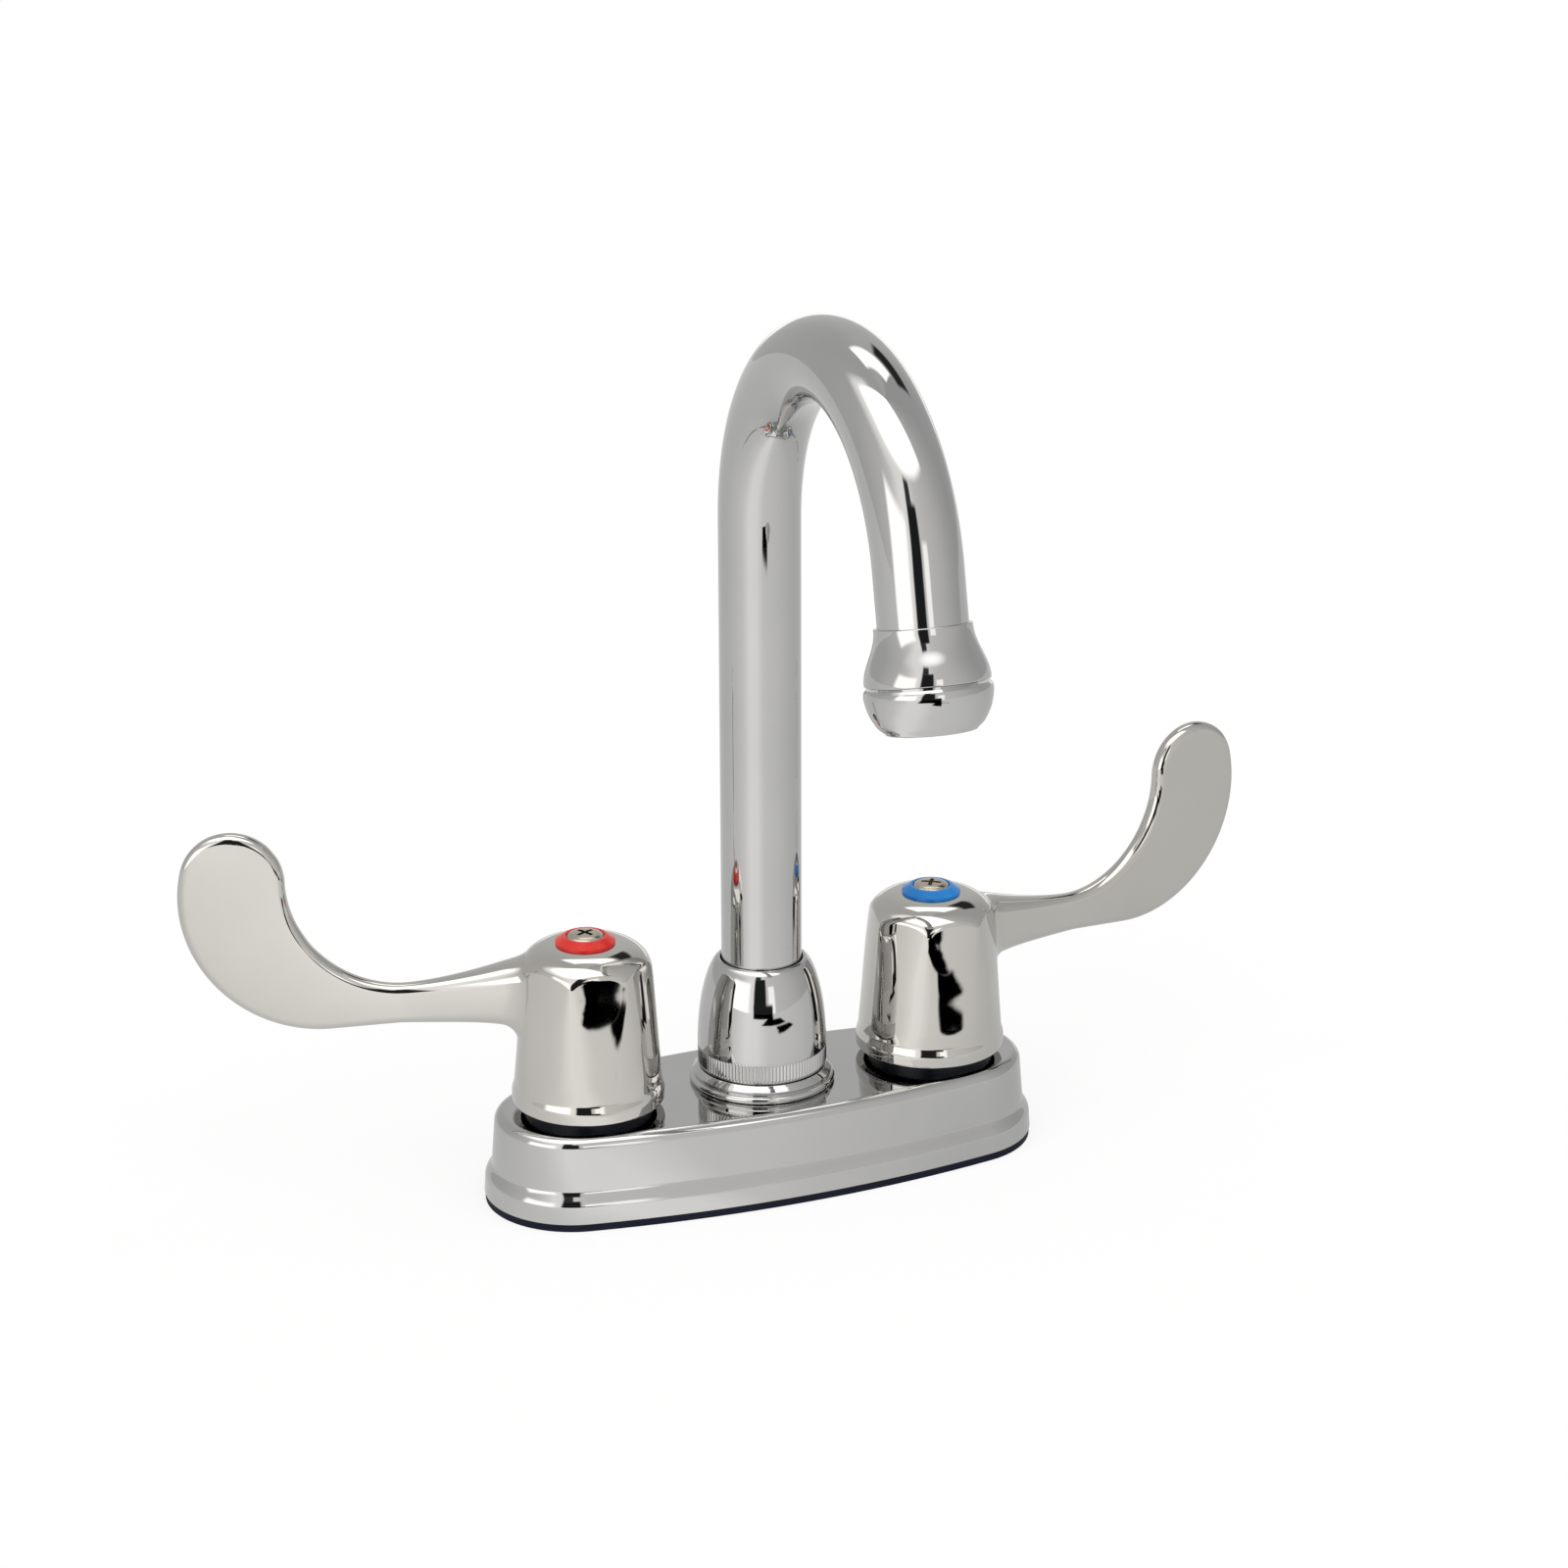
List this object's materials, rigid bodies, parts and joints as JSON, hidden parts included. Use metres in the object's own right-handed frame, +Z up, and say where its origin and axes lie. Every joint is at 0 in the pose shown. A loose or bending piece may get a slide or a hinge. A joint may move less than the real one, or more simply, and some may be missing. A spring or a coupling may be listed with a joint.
{
  "type": "wrist blade bar faucet",
  "caption": "Two-handle deck-mounted bar faucet with a swivelling gooseneck spout, wrist blade handles and a bowed base plate.",
  "frame": {"origin": "centre of the gasket's under face, on the sink deck", "axes": "+X to the cold side along the line of the inlets, -Y towards the user, +Z up out of the sink deck"},
  "size_m": [0.3092, 0.1628, 0.3001],
  "materials": {
    "chrome": "mirror chrome plate",
    "handle_chrome": "mirror chrome plate",
    "black_rubber": "matt black rubber",
    "black_plastic": "black plastic",
    "brass": "machined brass",
    "zinc_steel": "zinc plated steel",
    "stainless": "stainless steel",
    "white_plastic": "natural white plastic",
    "ceramic": "lapped ceramic",
    "red_plastic": "red plastic",
    "blue_plastic": "blue plastic"
  },
  "bodies": {
    "faucet_body": {"deck_plate": "chrome", "base_gasket": "black_rubber", "waterway_body": "brass", "mounting_washers": "zinc_steel", "mounting_nuts": "brass", "spout_flange": "chrome", "spout_nut": "chrome", "spout_thrust_washer": "white_plastic", "hot_supply_shank": "brass", "hot_cartridge": "brass", "hot_deck_collar": "black_plastic", "hot_fixed_disc": "ceramic", "hot_seat_seal": "black_rubber", "cold_supply_shank": "brass", "cold_cartridge": "brass", "cold_deck_collar": "black_plastic", "cold_fixed_disc": "ceramic", "cold_seat_seal": "black_rubber"},
    "spout": {"spout_tube": "chrome", "spout_ferrule": "brass", "spout_o_rings": "black_rubber", "spout_retaining_ring": "white_plastic", "aerator_adapter": "chrome", "aerator_cap": "chrome", "aerator_washer": "black_rubber", "aerator_screen": "stainless", "aerator_insert": "white_plastic"},
    "hot_lever": {"hot_handle": "handle_chrome", "hot_index_ring": "red_plastic", "hot_handle_screw": "stainless", "hot_stem": "brass", "hot_stem_o_ring": "black_rubber", "hot_stem_clip": "stainless", "hot_moving_disc": "ceramic"},
    "cold_lever": {"cold_handle": "handle_chrome", "cold_index_ring": "blue_plastic", "cold_handle_screw": "stainless", "cold_stem": "brass", "cold_stem_o_ring": "black_rubber", "cold_stem_clip": "stainless", "cold_moving_disc": "ceramic"}
  },
  "joints": [
    {"name": "spout_swivel", "type": "hinge", "parent": "faucet_body", "child": "spout", "pos_m": [0, 0, 0.03], "axis": [0, 0, 1], "continuous": true},
    {"name": "hot_handle_turn", "type": "hinge", "parent": "faucet_body", "child": "hot_lever", "pos_m": [-0.0508, 0, 0.03], "axis": [0, 0, 1], "range_deg": [0, 90]},
    {"name": "cold_handle_turn", "type": "hinge", "parent": "faucet_body", "child": "cold_lever", "pos_m": [0.0508, 0, 0.03], "axis": [0, 0, -1], "range_deg": [0, 90]}
  ]
}
